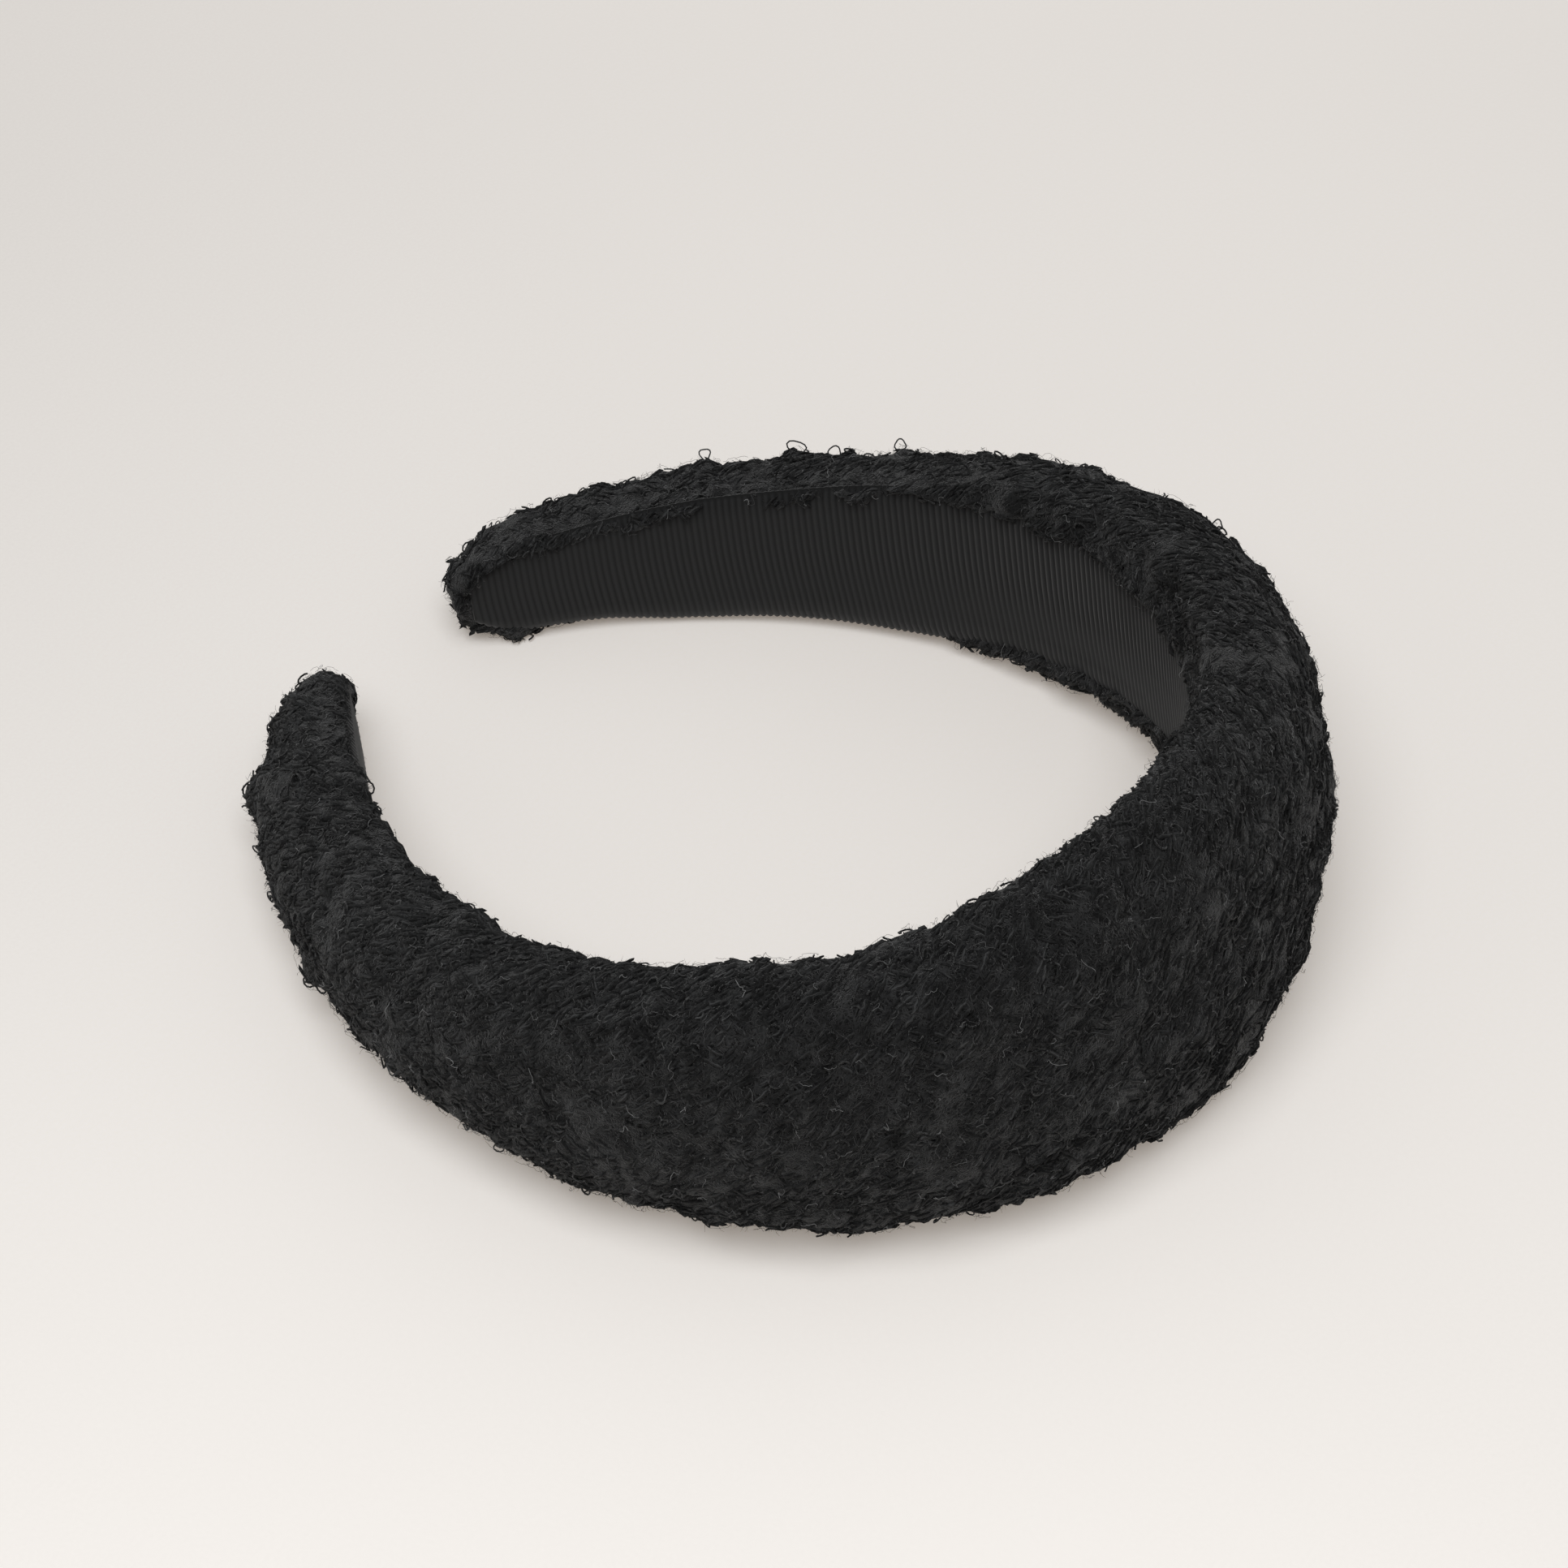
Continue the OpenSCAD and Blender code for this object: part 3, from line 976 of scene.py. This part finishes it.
def pile_tree(name, one_piece, inputs, sizes, turns):
    """Short pieces of yarn strewn over the cloth, with sizes and turns by chance."""
    tree, given, result = yarn_group(name, {"Spacing": 0.002, "Size": 0.001, "Yarn": 0.1, **inputs})
    size = given["Size"] * chance(*sizes, given["Seed"] + 4)
    finish_yarn(strewn(given, one_piece(tree, given), turns, size), given, result)
    return tree


def open_curl(tree, given):
    """An arc of yarn that rises as it turns."""
    arc = put(tree, "GeometryNodeCurveArc", {
        "Resolution": given["Steps"], "Radius": 1.0, "Start Angle": -0.6, "Sweep Angle": given["Sweep"],
    }, mode="RADIUS")
    rise = put(tree, "GeometryNodeSplineParameter") * CURL_RISE
    arc = shifted(arc, Offset=put(tree, "ShaderNodeCombineXYZ", {1: given["Lift"], 2: rise}))
    return strand_along(arc, given["Yarn"])


CURL_INPUTS = {"Sweep": 4.8, "Steps": 9, "Lift": 0.4}
curls = pile_tree("yarn_curls", open_curl, CURL_INPUTS, CURL_SIZES, (CURL_LEAN, ANY_WAY))
wool_curls = grown("wool_curls", cover_mesh, curls, {
    "Spacing": 0.0023, "Size": 0.00076, "Yarn": 0.18, "Sweep": 4.6, "Steps": 8, "Lift": 0.1,
    "Gaps": 0.45, "Patch": 0.005, "Seed": 3, "Wool": dark_wool,
})
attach(wool_curls, "root")


# The wool is hairy. Short bent fibres stand off the yarn all over and make the soft outline, and
# in patches between them lies a dense down of very short ones, worked loose from the yarn.
HAIR_GRAIN = {
    "Fibre Spacing": 0.003, "Fibre Thinness": 1.5, "Pit Spacing": 0.0012, "Patch Spacing": 0.004,
}
HAIR_RELIEF = {"Distance": 0.00002, "Strength": 0.1}
# The loose fibres are lighter grey than the cloth, painted highlight for the light the fine fibres catch
FIBRE_DARK = (0.008, 0.0081, 0.0082)
FIBRE_LIGHT = (0.062, 0.0632, 0.0645)
highlit_grey_wool = wool("highlit_grey_wool", FIBRE_DARK, FIBRE_LIGHT, HAIR_GRAIN, HAIR_RELIEF, WOOL_SHEEN)
FIBRE_SIZES = (0.5, 1.5)
FUZZ_TURNS = ((0, -0.8, 0.8), (1, -0.8, 0.8), ANY_WAY)
DOWN_TURNS = ((0, -1.1, 1.1), (1, -1.1, 1.1), ANY_WAY)


def bent_fibre(tree, given):
    """A fibre that stands up, bends over and thins towards its end."""
    bend = put(tree, "GeometryNodeCurveQuadraticBezier", {
        "Resolution": 2, "Start": (0, 0, -0.1), "Middle": (0.05, 0.1, 0.7), "End": (0.75, 0, 0.75),
    })
    thin_end = put(tree, "GeometryNodeSplineParameter") * -0.5 + 1
    return strand_along(bend, given["Yarn"], thin_end)


def pointed_fibre(tree, given):
    """A straight fibre that tapers to a point."""
    return put(tree, "GeometryNodeMeshCone", {
        "Vertices": YARN_SIDES, "Radius Top": 0.0, "Radius Bottom": given["Yarn"], "Depth": 1.0,
    })


short_fibres = pile_tree("short_fibres", bent_fibre, {}, FIBRE_SIZES, FUZZ_TURNS)
wool_fuzz = grown("wool_fuzz", cover_mesh, short_fibres, {
    "Spacing": 0.0018, "Size": 0.0011, "Yarn": 0.022, "Gaps": 0.44, "Patch": 0.003, "Seed": 5,
    "Wool": highlit_grey_wool,
})
down = pile_tree("down", pointed_fibre, {}, FIBRE_SIZES, DOWN_TURNS)
wool_down = grown("wool_down", cover_mesh, down, {
    "Spacing": 0.00050, "Size": 0.00105, "Yarn": 0.027, "Gaps": 0.49, "Patch": 0.0032, "Seed": 21,
    "Wool": dark_wool,
})
for fibres in (wool_fuzz, wool_down):
    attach(fibres, "root")


# Long crimped fibres have come out of the yarn and lie over the cloth, dark ones all over and a
# few shorter, kinked ones that catch the light, with the glints painted into their pale colour.
SQUIGGLE_DARK = (0.02, 0.0202, 0.0205)
# Painted glint: the pale tone of the squiggles
SQUIGGLE_LIGHT = (0.30, 0.303, 0.306)
painted_glint_wool = wool("painted_glint_wool", SQUIGGLE_DARK, SQUIGGLE_LIGHT, HAIR_GRAIN, HAIR_RELIEF, WOOL_SHEEN)
HAIR_LENGTHS = (0.4, 1.4)
HAIR_RISE = (2.4, -0.1)


def hair_tree():
    """Long crimped fibres that follow the cloth a little above it."""
    tree, given, result = yarn_group("long_fibres", {
        "Spacing": 0.004, "Length": 0.006, "Fibre": 0.00005, "Crimp": 0.002, "Wave": 0.002,
        "Above": 0.0009, "Steps": 16,
    })
    cloth = given["Cloth"]
    size = given["Length"] * chance(*HAIR_LENGTHS, given["Seed"] + 2)
    strands = strewn(given, straight(tree, given["Steps"]), (ANY_WAY,), size)
    strands = put(tree, "GeometryNodeRealizeInstances", {0: strands})
    strands = shifted(strands, Offset=drift_at(tree, given["Wave"], 1.0) * given["Crimp"])
    here = put(tree, "GeometryNodeInputPosition")
    foot = put(tree, "GeometryNodeProximity", {0: cloth, "Sample Position": here}, target_element="FACES")
    normal = put(tree, "GeometryNodeSampleNearestSurface", {
        0: cloth, 1: put(tree, "GeometryNodeInputNormal"), "Sample Position": here,
    }, data_type="FLOAT_VECTOR")
    rise = given["Above"] * (noise_at(tree, given["Wave"], 9.0) * HAIR_RISE[0] + HAIR_RISE[1])
    strands = shifted(strands, Position=foot + normal * rise)
    finish_yarn(strand_along(strands, given["Fibre"]), given, result)
    return tree


long_fibres = hair_tree()
wool_hairs = grown("wool_hairs", cover_mesh, long_fibres, {
    "Spacing": 0.0036, "Length": 0.0036, "Fibre": 0.000026, "Crimp": 0.005, "Wave": 0.0014,
    "Above": 0.0008, "Steps": 14, "Gaps": 0.46, "Patch": 0.012, "Seed": 8, "Wool": highlit_grey_wool,
})
wool_squiggles = grown("wool_squiggles", cover_mesh, long_fibres, {
    "Spacing": 0.0036, "Length": 0.0015, "Fibre": 0.000036, "Crimp": 0.0034, "Wave": 0.0009,
    "Above": 0.0007, "Steps": 8, "Gaps": 0.52, "Patch": 0.004, "Seed": 31, "Wool": painted_glint_wool,
})
for fibres in (wool_hairs, wool_squiggles):
    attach(fibres, "root")


# Here and there one loop of the yarn has come loose, and lies on the cloth or stands up at the
# outline as a ring. Each is one bent length of yarn in the lighter grey wool, whose grey is painted
# highlight, rooted in the cloth, given as (across, down) in the photograph's pixels, radius and lean.
LOOSE_LOOPS = {
    "far leg first": (872, 562, 0.0009, 1.3),
    "far leg ring": (980, 559, 0.0016, 1.35),
    "far leg third": (1030, 549, 0.0010, 1.2),
    "far leg fourth": (1110, 551, 0.0009, 1.3),
    "crown curl": (1508, 640, 0.0008, 1.0),
    "near leg curl": (488, 1312, 0.0009, 1.3),
    "near leg second": (576, 1386, 0.0005, 0.8),
    "foot curl": (1035, 1492, 0.0010, 0.4),
    "face ring first": (706, 1318, 0.0008, 0.1),
    "face ring second": (813, 1348, 0.0012, 0.1),
    "face ring third": (862, 1250, 0.0007, 0.2),
}
RING_TURNS = 14
RING_SWEEP = 5.5
RING_YARN = 0.00013
RING_WAVER = 0.14
RING_SINK = 0.8
RING_SIDES = 5
RING_TWIST = 0.0002
ring_points = []
ring_faces = []
cloth_skin = skin_of(cover)
for number, (across, below, radius, lean) in enumerate(LOOSE_LOOPS.values()):
    way = ray_through(across, below)
    foot, facing = cloth_skin.ray_cast(eye, way)[:2]
    if not foot:
        closest = nearest_to_ray(skin.reshape(-1, 3), way)
        foot = Vector(skin.reshape(-1, 3)[closest])
        facing = Vector(ways.reshape(-1, 3)[closest])
    flat_way = facing.cross(way).normalized()
    stand_way = (facing.cross(flat_way) * math.cos(lean) + facing * math.sin(lean)).normalized()
    side_way = flat_way.cross(stand_way)
    centre = foot + facing * (RING_YARN + radius * math.sin(lean) * RING_SINK)
    first = len(ring_points)
    for turn in np.linspace(-RING_SWEEP / 2, RING_SWEEP / 2, RING_TURNS) + math.pi / 2:
        wavered = radius * (1 + RING_WAVER * math.sin(3 * turn + number))
        out = flat_way * math.cos(turn) + stand_way * math.sin(turn)
        for side in np.linspace(0, 2 * math.pi, RING_SIDES, endpoint=False):
            off_ring = RING_YARN * math.sin(side) + RING_TWIST * math.sin(2 * turn)
            out_from_middle = wavered + RING_YARN * math.cos(side)
            ring_points.append(centre + out * out_from_middle + side_way * off_ring)
    ring_faces += tube_faces(RING_TURNS, RING_SIDES, first)
loop_mesh = smooth_mesh("loose_loops", [tuple(point) for point in ring_points], ring_faces)
loop_mesh.materials.append(highlit_grey_wool)
loose_loops = link("loose_loops", loop_mesh)
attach(loose_loops, "root")


# The lining is a grosgrain ribbon, glued to the inner face over the turned-in edges of the cloth.
# It is woven of fine threads over thick cross cords, which stand up as ribs and make beads along
# its edges. The ribs lean where the ribbon was drawn round the hoop.
RIBBON_BACK = 0.0003
RIBBON_FACE = 0.0013
RIB_PITCH = 0.00112
RIB_HEIGHT = 0.00034
RIB_MIDDLE = 0.64
LEAN_CURVE = 1.5
WORN_TONE = 0.62
ROWS_PER_RIB = 5
FACE_COLUMNS = 12
BACK_COLUMNS = (1, 0.33, -0.33, -1)
BACK_RIBS = 0.3
END_TUCK = 0.0004
EDGE_DROP = 0.0008
EDGE_SHARE = 0.1
# The ribbon's edges and back get painted shade, as dark as the shadow under the cloth's lip
EDGE_PAINTED_SHADE = 0.12
ribbon_start = ribbon_gap + END_TUCK
ribbon_stop = band_length - ribbon_gap - END_TUCK
rib_rows = int((ribbon_stop - ribbon_start) / RIB_PITCH * ROWS_PER_RIB)
ribbon_places = np.linspace(ribbon_start, ribbon_stop, rib_rows)
ribbon_line, _, ribbon_outs = frames_at(ribbon_places)
upper_reach = ribbon_half(ribbon_places, True)
lower_reach = ribbon_half(ribbon_places, False)
face_across = np.sin(np.linspace(-math.pi / 2, math.pi / 2, FACE_COLUMNS))
face_drop = EDGE_DROP * np.clip((np.abs(face_across) + EDGE_SHARE - 1) / EDGE_SHARE, 0, 1)
section_across = np.concatenate([face_across, BACK_COLUMNS])
section_depth = np.concatenate([RIBBON_FACE - face_drop, np.full(len(BACK_COLUMNS), RIBBON_BACK)])
on_top = np.arange(len(section_across)) < FACE_COLUMNS
ribbon_round = len(section_across)
reach = np.where(section_across > 0, upper_reach[:, None], lower_reach[:, None])
across_metres = reach * section_across
ribbon_points = (
    ribbon_line[:, None]
    + across_metres[:, :, None] * np.array(upward)
    - section_depth[None, :, None] * ribbon_outs[:, None]
)
strip = tube_faces(rib_rows, ribbon_round)
ribbon_mesh = smooth_mesh("ribbon", ribbon_points.reshape(-1, 3).tolist(), strip)
places_round = np.repeat(ribbon_places[:, None], ribbon_round, 1)
ribbon_measure = np.stack([places_round, across_metres], 2).reshape(-1, 2)
ribbon_uv = ribbon_mesh.uv_layers.new(name="UVMap")
for loop in ribbon_mesh.loops:
    ribbon_uv.data[loop.index].uv = ribbon_measure[loop.vertex_index]
keep_values(ribbon_mesh, "place", ribbon_measure[:, 0])
keep_values(ribbon_mesh, "across", ribbon_measure[:, 1])

# The ribs are worn flatter towards the far tip, which also evens out their painted highlight and shade
WORN_RIBS = 0.3
WORN_REACH = (0.02, 0.11)
worn = WORN_RIBS * np.interp(band_length - ribbon_places, WORN_REACH, (1, 0))
on_face = np.where(on_top, 1, BACK_RIBS) * (1 - worn)[:, None]
keep_values(ribbon_mesh, "ribbed", on_face)
# Painted shade: the tone is cut down on the ribbon's edge columns and on its back
painted_edge_shade = np.where(on_top & (np.abs(section_across) < 1), 1, EDGE_PAINTED_SHADE)
keep_values(ribbon_mesh, "painted_edge_shade", np.ones((rib_rows, 1)) * painted_edge_shade)
keep_values(ribbon_mesh, "face_way", np.repeat(-ribbon_outs, ribbon_round, axis=0))
edge_way = np.where(np.abs(section_across) == 1, np.sign(section_across), 0)
edge_way = np.ones((rib_rows, 1, 1)) * edge_way[None, :, None] * np.array(upward)
keep_values(ribbon_mesh, "edge_way", edge_way)


def rib_tree():
    """Raises ribs across a ribbon, and beads where they meet its edges."""
    tree, given, result = new_group("GeometryNodeTree", "ribbon_ribs", {
        "Ribbon": "Geometry", "Pitch": 0.001, "Height": 0.0002, "Bead": 0.0002, "Lean": 0.001,
        "Lean From": 0.0, "Half Width": 0.014, "Finish": "Material",
    }, {"Ribbed": "Geometry"})
    below = (given["Lean From"] - named(tree, "across")).larger(0) / given["Half Width"]
    place = (named(tree, "place") + below ** LEAN_CURVE * given["Lean"]) / given["Pitch"]
    wave = abs((place * math.pi).sine())
    ribs = named(tree, "ribbed")
    rise = (wave - RIB_MIDDLE) * ribs * given["Height"]
    # Painted light and shade: each cord lighter on its raised part and darker between, evened out where
    # ribs are flat
    shown = (wave + (WORN_TONE - wave) * (1 - ribs)) * named(tree, "painted_edge_shade")
    face_step = named(tree, "face_way", "FLOAT_VECTOR") * rise
    edge_step = named(tree, "edge_way", "FLOAT_VECTOR") * (wave * given["Bead"])
    ribbed = store(shifted(given["Ribbon"], Offset=face_step + edge_step), "rib", shown)
    ribbed = put(tree, "GeometryNodeRealizeInstances", {0: ribbed})
    ribbed = put(tree, "GeometryNodeSetMaterial", {"Geometry": ribbed, "Material": given["Finish"]})
    ribbed.feeds(result["Ribbed"])
    return tree


# Near-black and dull, with a painted highlight on each cord and painted shade between the cords,
# and fine threads over each cord. The threads and the slight clouds in the dye are drawn out, as
# (along the band, across it)
RIBBON_DARK = (0.0018, 0.0019, 0.002)
RIBBON_LIGHT = (0.0190, 0.0197, 0.0206)
RIBBON_RELIEF = {"Distance": 0.00006, "Strength": 0.5}
RIBBON_CLOUDS = (1 / 0.0011, 1 / 0.004, 1)
RIBBON_THREADS = (1 / 0.0006, 1 / 0.00022, 1)
CORD_CONTRAST = 1.5
WEAVE_LEAST = 0.4


def ribbon_weave(tree):
    """The tone of the cords, with their painted highlight and shade, and the height of their threads."""
    along = put(tree, "ShaderNodeUVMap", uv_map="UVMap")
    clouds = noise_on(along * RIBBON_CLOUDS, 1.0, detail=3.0)
    threads = noise_on(along * RIBBON_THREADS, 1.0, detail=2.0)
    # The stored rib tone is painted highlight on the cords and painted shade between them
    cords = put(tree, "ShaderNodeAttribute", output="Fac", attribute_name="rib")
    return cords ** CORD_CONTRAST * (threads * 0.5 + clouds * 0.5 + WEAVE_LEAST), threads


ribbon_finish = two_tone("ribbon_finish", RIBBON_DARK, RIBBON_LIGHT, ribbon_weave, RIBBON_RELIEF, {
    "Roughness": 0.8, "Specular IOR Level": 0.25, "Sheen Weight": 0.16,
})
ribbon = grown("ribbon", ribbon_mesh, rib_tree(), {
    "Pitch": RIB_PITCH, "Height": RIB_HEIGHT, "Bead": 0.0002, "Lean": 0.0012, "Lean From": 0.002,
    "Half Width": 0.014, "Finish": ribbon_finish,
})
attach(ribbon, "root")
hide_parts("ribbon_lining")
ribbon_stop - ribbon_start


# The table is a plain pale sheet with a faint grain. Its tone changes by a few per cent from near
# to far and from side to side, a painted pool of light brightest at the near middle, and a weak warm
# glow stands for the light that the white room throws back into the shadow.
TABLE_HALF = 3
SHEET_TONE = (0.846, 0.842, 0.832)
GLOW_TONE = (0.93, 0.80, 0.68)
GLOW_STRENGTH = 0.24
MIDDLE_LEVEL = 0.988
NEAR_GAIN = 0.31
SIDE_GAIN = 0.095
NEAR_CURVE = 1.55
SIDE_CURVE = -1.2
TWIST = -0.42
LEAST_LEVEL = 0.9
MOST_LEVEL = 1.12
SPECK_SIZE = 0.0006
SPECK_GAIN = 0.05
CLOUD_SIZE = 0.12
CLOUD_GAIN = 0.03
table_mesh = bpy.data.meshes.new("table")
table_mesh.from_pydata([
    (-TABLE_HALF, -TABLE_HALF, 0), (TABLE_HALF, -TABLE_HALF, 0),
    (TABLE_HALF, TABLE_HALF, 0), (-TABLE_HALF, TABLE_HALF, 0),
], [], [(0, 1, 2, 3)])
table = link("table", table_mesh)
towards_eye = Vector((eye.x - look_at.x, eye.y - look_at.y, 0)).normalized()
to_right = Vector((-towards_eye.y, towards_eye.x, 0))
pale = bpy.data.materials.new("pale_table")
pale.use_nodes = True
here = put(pale.node_tree, "ShaderNodeTexCoord", output="Object")
near = here.dot(towards_eye).also(1)
right = here.dot(to_right).also(1)
# Painted light: a pool of light brightest at the near middle, on the sheet and on its glow
painted_light_and_grain = near * NEAR_GAIN + MIDDLE_LEVEL + right * SIDE_GAIN + near * right * TWIST
painted_light_and_grain = painted_light_and_grain + near * near * NEAR_CURVE + right * right * SIDE_CURVE
speck = noise_on(here, 1 / SPECK_SIZE, detail=1.0) - 0.5
cloud = noise_on(here, 1 / CLOUD_SIZE, detail=1.0) - 0.5
painted_light_and_grain = painted_light_and_grain.within(LEAST_LEVEL, MOST_LEVEL) + speck * SPECK_GAIN + cloud * CLOUD_GAIN
shader = pale.node_tree.nodes["Principled BSDF"].inputs
painted_light_and_grain.tints(SHEET_TONE).feeds(shader["Base Color"])
painted_light_and_grain.tints(GLOW_TONE).feeds(shader["Emission Color"])
shader["Emission Strength"].default_value = GLOW_STRENGTH
shader["Roughness"].default_value = 0.9
shader["Specular IOR Level"].default_value = 0.1
table_mesh.materials.append(pale)


# The light is one large round soft box, above the table and in front, which faces the table's
# middle, with weaker light from all round.
ROUND_LIGHT = 0.26
SOFT_BOX_SIZE = 0.95
SOFT_BOX_WATTS = 9.8
SOFT_BOX_NEAR = 0.57
SOFT_BOX_LEFT = 0.08
SOFT_BOX_HEIGHT = 1.165
world = bpy.data.worlds.new("studio")
scene.world = world
world.use_nodes = True
world.node_tree.nodes["Background"].inputs["Color"].default_value = (1, 1, 1, 1)
world.node_tree.nodes["Background"].inputs["Strength"].default_value = ROUND_LIGHT
lamp = bpy.data.lights.new("top_box", "AREA")
lamp.shape = "DISK"
lamp.size = SOFT_BOX_SIZE
lamp.energy = SOFT_BOX_WATTS
soft_box = bpy.data.objects.new("top_box", lamp)
scene.collection.objects.link(soft_box)
soft_box.location = towards_eye * SOFT_BOX_NEAR - to_right * SOFT_BOX_LEFT
soft_box.location.z = SOFT_BOX_HEIGHT
soft_box.rotation_euler = (-soft_box.location).to_track_quat("-Z", "Y").to_euler()
